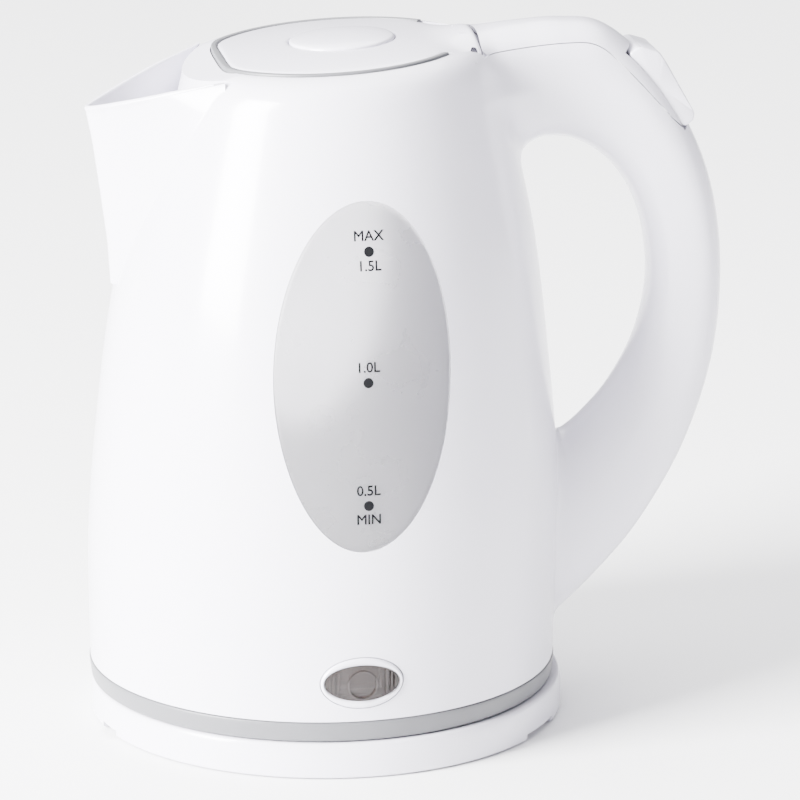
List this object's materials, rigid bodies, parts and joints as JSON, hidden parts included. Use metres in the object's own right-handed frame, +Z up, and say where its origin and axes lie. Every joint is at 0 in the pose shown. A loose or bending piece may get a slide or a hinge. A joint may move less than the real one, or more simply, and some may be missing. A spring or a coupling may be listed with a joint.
{
  "type": "electric kettle",
  "caption": "Cordless electric kettle: tapering white jug with open beak spout, hinged lid, looped handle, oval water windows and round power base.",
  "frame": {"origin": "centre of the footprint of the whole object, on the surface that the feet stand on", "axes": "+Z up, +X towards the handle, -X towards the spout, -Y the side with the indicator lamp"},
  "size_m": [0.1958, 0.1458, 0.214],
  "materials": {
    "white_shell": "smooth moulded gloss white",
    "grey_trim": "satin moulded grey",
    "window": "clear, faintly grey, moulded",
    "lens": "smoked clear, polished",
    "steel": "stainless, satin",
    "aluminium_parts": "as cast and drawn",
    "brass_contacts": "stamped, bright",
    "black_plastic": "fine texture",
    "foot_rubber": "matt",
    "silicone": "translucent white",
    "lamp_glass": "clear, warm tint",
    "wire_insulation": "smooth PVC"
  },
  "bodies": {
    "power_base": {"base_shell": "white_shell", "base_plate": "white_shell", "cord_gland": "black_plastic", "cord_clamp": "black_plastic", "socket_housing": "black_plastic", "socket_contact_centre": "brass_contacts", "socket_contact_inner": "brass_contacts", "socket_contact_outer": "brass_contacts", "base_foot_1": "foot_rubber", "base_foot_2": "foot_rubber", "base_foot_3": "foot_rubber", "base_foot_4": "foot_rubber", "base_screw_1": "steel", "base_screw_2": "steel", "base_screw_3": "steel"},
    "swivel": {"swivel_collar": "grey_trim"},
    "jug": {"jug_body": "white_shell", "window_near": "window", "window_far": "window", "trim_band": "grey_trim", "bottom_cover": "white_shell", "bottom_screw_1": "steel", "bottom_screw_2": "steel", "bottom_screw_3": "steel", "element_plate": "steel", "element_seal": "silicone", "element_clamp_ring": "aluminium_parts", "heat_spreader": "aluminium_parts", "heating_element": "aluminium_parts", "control_housing": "black_plastic", "dry_boil_disc": "steel", "plug_pin": "brass_contacts", "plug_ring_inner": "brass_contacts", "plug_ring_outer": "brass_contacts", "indicator_lens": "lens", "lamp_holder": "black_plastic", "neon_lamp": "lamp_glass", "handle_cover": "white_shell", "rocker_pin": "steel", "steam_switch": "black_plastic", "steam_disc": "steel", "steam_tube": "silicone", "handle_wires": "wire_insulation", "lid_hinge_pin": "steel", "lid_hinge_bracket": "white_shell"},
    "lid": {"lid_shell": "white_shell", "lid_trim_ring": "grey_trim", "lid_base": "white_shell", "button_spring": "steel"},
    "button": {"lid_button": "white_shell"},
    "latch": {"lid_latch": "grey_trim"},
    "rocker": {"rocker_switch": "white_shell"},
    "lever": {"trip_lever": "black_plastic"},
    "strainer": {"filter_frame": "white_shell", "filter_mesh": "steel"}
  },
  "joints": [
    {"name": "base_swivel", "type": "hinge", "parent": "power_base", "child": "swivel", "pos_m": [-0.02595, 0, 0.0117], "axis": [0, 0, 1], "continuous": true},
    {"name": "jug_lift", "type": "slide", "parent": "swivel", "child": "jug", "axis": [0, 0, 1], "range_m": [0, 0.06]},
    {"name": "lid_hinge", "type": "hinge", "parent": "jug", "child": "lid", "pos_m": [0.01815, 0, 0.208], "axis": [0, 1, 0], "range_deg": [0, 75]},
    {"name": "button_press", "type": "slide", "parent": "lid", "child": "button", "axis": [0.0599, 0, -0.9982], "range_m": [0, 0.003], "stiffness_N_per_m": 150, "springref_m": -0.002, "deforming": ["button_spring"]},
    {"name": "latch_draw", "type": "slide", "parent": "lid", "child": "latch", "axis": [0.9982, 0, 0.0599], "range_m": [0, 0.0025]},
    {"name": "rocker_tilt", "type": "hinge", "parent": "jug", "child": "rocker", "pos_m": [0.07447, 0, 0.19145], "axis": [0, -1, 0], "range_deg": [0, 14]},
    {"name": "lever_turn", "type": "hinge", "parent": "jug", "child": "lever", "pos_m": [0.06531, 0, 0.1939], "axis": [0, 1, 0], "range_deg": [0, 9]},
    {"name": "strainer_slide", "type": "slide", "parent": "jug", "child": "strainer", "axis": [1, 0, 0], "range_m": [0, 0.012]}
  ],
  "couplings": [
    {"joint": "latch_draw", "follows": "button_press", "ratio": 0.8},
    {"joint": "lever_turn", "follows": "rocker_tilt", "ratio": 0.6}
  ]
}
